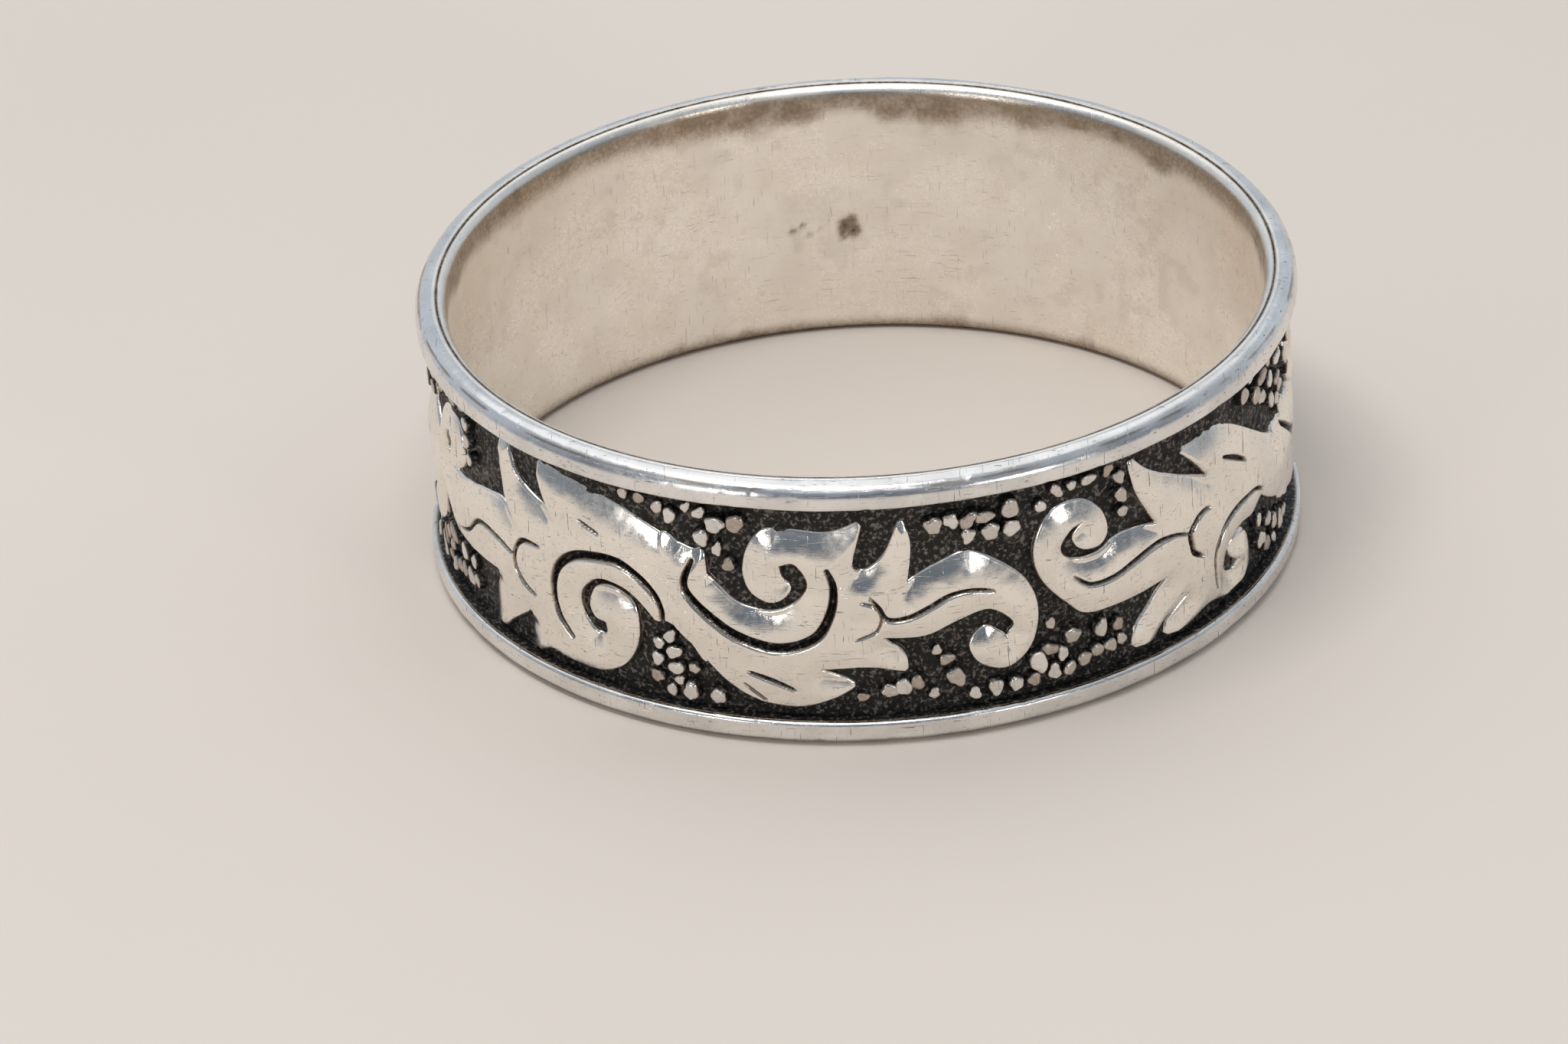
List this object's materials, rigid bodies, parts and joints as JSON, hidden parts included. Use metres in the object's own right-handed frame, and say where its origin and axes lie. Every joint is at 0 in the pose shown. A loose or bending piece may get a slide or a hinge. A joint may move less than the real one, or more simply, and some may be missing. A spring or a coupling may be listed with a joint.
{
  "type": "wedding band",
  "caption": "Flat-lying ring band: plain inside, two raised rims, and a frieze of leafy scrolls over a dark ground.",
  "frame": {"origin": "on the finger hole's axis, in the plane of the lower rim face that the ring lies on", "axes": "+Z along the finger hole, up when the ring lies flat; -Y is the front, where a scroll is centred; the strip closes at the back, at +Y"},
  "size_m": [0.0205, 0.0204, 0.0067],
  "materials": {
    "liner_silver": "satin silver inside, blackened outside under the pattern",
    "rim_silver": "polished silver, lightly worn",
    "scroll_silver": "polished silver with fine scratches and blackened lines",
    "granule_silver": "rough blackened silver with rubbed tops",
    "solder": "dull silver solder"
  },
  "bodies": {
    "root": {"liner": "liner_silver", "upper_rim": "rim_silver", "lower_rim": "rim_silver", "solder_joint": "solder", "scroll_1": "scroll_silver", "scroll_2": "scroll_silver", "scroll_3": "scroll_silver", "scroll_4": "scroll_silver", "scroll_5": "scroll_silver", "scroll_6": "scroll_silver", "scroll_7": "scroll_silver", "upper_granules_1": "granule_silver", "upper_granules_2": "granule_silver", "upper_granules_3": "granule_silver", "upper_granules_4": "granule_silver", "upper_granules_5": "granule_silver", "upper_granules_6": "granule_silver", "upper_granules_7": "granule_silver", "lower_granules_1": "granule_silver", "lower_granules_2": "granule_silver", "lower_granules_3": "granule_silver", "lower_granules_4": "granule_silver", "lower_granules_5": "granule_silver", "lower_granules_6": "granule_silver", "lower_granules_7": "granule_silver"}
  },
  "joints": []
}
